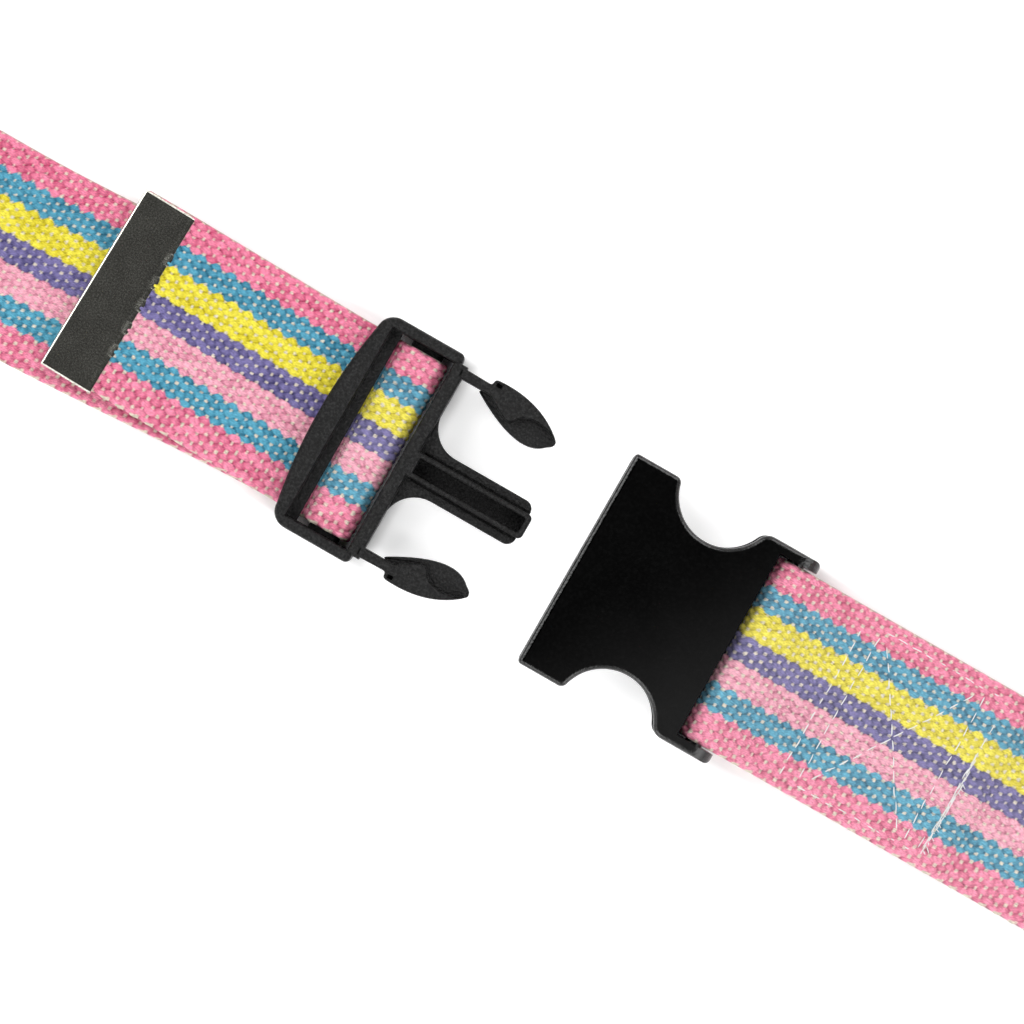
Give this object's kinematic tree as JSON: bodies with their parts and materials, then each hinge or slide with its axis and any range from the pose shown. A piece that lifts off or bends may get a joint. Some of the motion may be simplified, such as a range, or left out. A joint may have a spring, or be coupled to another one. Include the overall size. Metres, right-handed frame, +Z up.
{
  "type": "gait belt",
  "caption": "Woven cotton gait belt with colourful lengthwise stripes, a black side-release buckle shown open, a sewn end and an adjustable tail with a crimped metal tip.",
  "frame": {"origin": "middle of the belt's box, on the surface that it lies on", "axes": "+X along the flat front of the belt, from the male half to the female half; +Y from the front to the back of the waist loop; +Z up"},
  "size_m": [0.613, 0.2958, 0.0508],
  "materials": {
    "black_acetal": "fine moulded grain, low sheen",
    "striped_cotton": "coarse woven cotton, striped lengthwise in pink, teal, yellow and purple",
    "nickel_plate": "bright nickel plate on thin sheet steel",
    "white_thread": "heavy white polyester sewing thread"
  },
  "bodies": {
    "root": {"male_frame": "black_acetal", "webbing_loop": "striped_cotton", "webbing_bar_wrap": "striped_cotton"},
    "sewn_end": {"webbing_sewn_end": "striped_cotton", "webbing_folded_end": "striped_cotton", "box_stitching": "white_thread", "cross_stitching": "white_thread", "row_stitching": "white_thread", "bar_tack": "white_thread"},
    "female_half": {"female_half": "black_acetal"},
    "left_prong": {"left_prong": "black_acetal"},
    "right_prong": {"right_prong": "black_acetal"},
    "tail": {"webbing_tail": "striped_cotton", "tail_tip": "nickel_plate"}
  },
  "joints": [
    {"name": "buckle_close", "type": "slide", "parent": "root", "child": "sewn_end", "axis": [-1, 0, 0], "range_m": [0, 0.0463]},
    {"name": "female_tilt", "type": "hinge", "parent": "sewn_end", "child": "female_half", "pos_m": [0.0665, -0.11824, 0.0062], "axis": [0, -1, 0], "range_deg": [-75, 0]},
    {"name": "left_prong_flex", "type": "hinge", "parent": "root", "child": "left_prong", "pos_m": [-0.02655, -0.09284, 0.0062], "axis": [0, 0, -1], "range_deg": [-4, 12], "stiffness_Nm_per_rad": 1.5},
    {"name": "right_prong_flex", "type": "hinge", "parent": "root", "child": "right_prong", "pos_m": [-0.02655, -0.14364, 0.0062], "axis": [0, 0, 1], "range_deg": [-4, 12], "stiffness_Nm_per_rad": 1.5},
    {"name": "tail_pull", "type": "slide", "parent": "root", "child": "tail", "axis": [-1, 0, 0], "range_m": [0, 0.045]}
  ]
}
